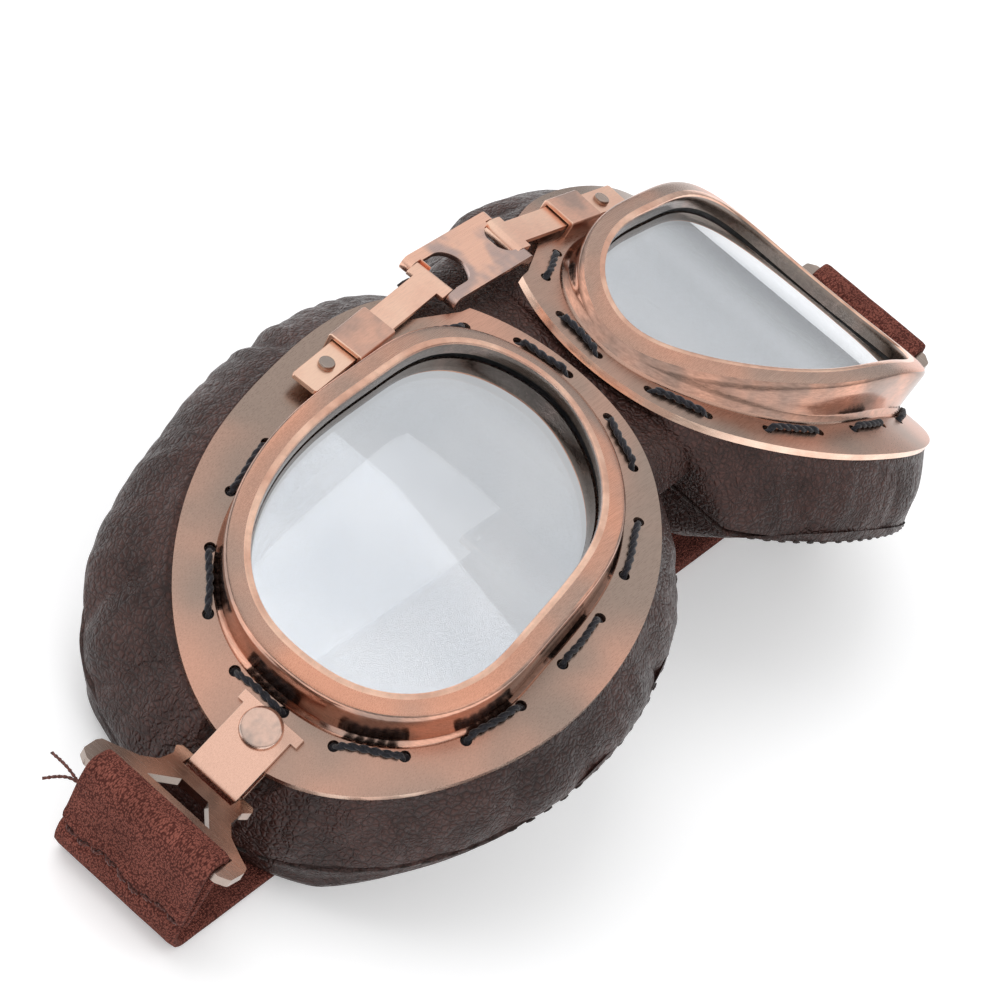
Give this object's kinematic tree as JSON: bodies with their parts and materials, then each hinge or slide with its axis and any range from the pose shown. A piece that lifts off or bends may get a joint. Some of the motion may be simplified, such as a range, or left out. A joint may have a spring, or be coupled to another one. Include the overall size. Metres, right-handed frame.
{
  "type": "aviator flying goggles",
  "caption": "Aviator goggles lying lens-up: hinged, sliding cups with raised curved rims, laced metal plates on leather cushions, and an elastic strap on buckles.",
  "frame": {"origin": "on the floor under the middle of the nose bridge, at the centre of the overall box's bottom", "axes": "+X to the wearer's left, +Y to the brow, +Z the way the lenses look; the goggles lie on the rear of their cushions"},
  "size_m": [0.2332, 0.0906, 0.0575],
  "materials": {
    "plate_metal": "brushed, copper-toned plating worn grey",
    "rim_metal": "brushed, copper-toned plating",
    "strip_metal": "polished, copper-toned plating",
    "link_metal": "satin, aged copper-toned plating",
    "buckle_metal": "satin, copper-toned plating",
    "retainer_metal": "satin",
    "clear_glass": "clear, polished",
    "gasket_rubber": "matte",
    "thread": "black lacing cord",
    "leather": "grained dark brown, slight sheen",
    "pad_leather": "grained dark brown, soft",
    "strap_fabric": "woven elastic webbing, reddish brown"
  },
  "bodies": {
    "bridge": {"bridge_link": "link_metal", "left_hinge_pin": "link_metal", "right_hinge_pin": "link_metal", "nose_leather": "leather", "elastic_strap": "strap_fabric"},
    "left_strip": {"left_slide_strip": "strip_metal", "left_strip_stop": "strip_metal"},
    "left_cup": {"left_frame_plate": "plate_metal", "left_bezel": "rim_metal", "left_lens": "clear_glass", "left_lens_gasket": "gasket_rubber", "left_lens_retainer": "retainer_metal", "left_frame_stitching": "thread", "left_slide_loop": "strip_metal", "left_strap_bracket": "strip_metal", "left_bracket_rivet": "strip_metal", "left_side_leather": "leather", "left_face_pad": "pad_leather"},
    "left_buckle": {"left_buckle_plate": "buckle_metal"},
    "right_strip": {"right_slide_strip": "strip_metal", "right_strip_stop": "strip_metal"},
    "right_cup": {"right_frame_plate": "plate_metal", "right_bezel": "rim_metal", "right_lens": "clear_glass", "right_lens_gasket": "gasket_rubber", "right_lens_retainer": "retainer_metal", "right_frame_stitching": "thread", "right_slide_loop": "strip_metal", "right_strap_bracket": "strip_metal", "right_bracket_rivet": "strip_metal", "right_side_leather": "leather", "right_face_pad": "pad_leather"},
    "right_buckle": {"right_buckle_plate": "buckle_metal"},
    "adjuster": {"strap_adjuster": "buckle_metal"}
  },
  "joints": [
    {"name": "left_hinge", "type": "hinge", "parent": "bridge", "child": "left_strip", "pos_m": [0.0112, 0.031, 0.0534], "axis": [0.061, 0.9981, 0], "range_deg": [0, 14], "deforming": ["elastic_strap", "nose_leather"]},
    {"name": "left_slide", "type": "slide", "parent": "left_strip", "child": "left_cup", "axis": [0.9907, -0.0606, -0.1219], "range_m": [-0.0015, 0.0035], "deforming": ["elastic_strap", "nose_leather"]},
    {"name": "left_buckle_hinge", "type": "hinge", "parent": "left_cup", "child": "left_buckle", "pos_m": [0.09624, -0.0065, 0.01868], "axis": [0, 1, 0], "range_deg": [-30, 50], "deforming": ["elastic_strap"]},
    {"name": "right_hinge", "type": "hinge", "parent": "bridge", "child": "right_strip", "pos_m": [-0.0112, 0.031, 0.0534], "axis": [0.061, -0.9981, 0], "range_deg": [0, 14], "deforming": ["elastic_strap", "nose_leather"]},
    {"name": "right_slide", "type": "slide", "parent": "right_strip", "child": "right_cup", "axis": [-0.9907, -0.0606, -0.1219], "range_m": [-0.0015, 0.0035], "deforming": ["elastic_strap", "nose_leather"]},
    {"name": "right_buckle_hinge", "type": "hinge", "parent": "right_cup", "child": "right_buckle", "pos_m": [-0.09624, -0.0065, 0.01868], "axis": [0, -1, 0], "range_deg": [-30, 50], "deforming": ["elastic_strap"]},
    {"name": "adjuster_slide", "type": "slide", "parent": "bridge", "child": "adjuster", "axis": [1, 0, 0], "range_m": [-0.005, 0.03], "deforming": ["elastic_strap"]}
  ]
}
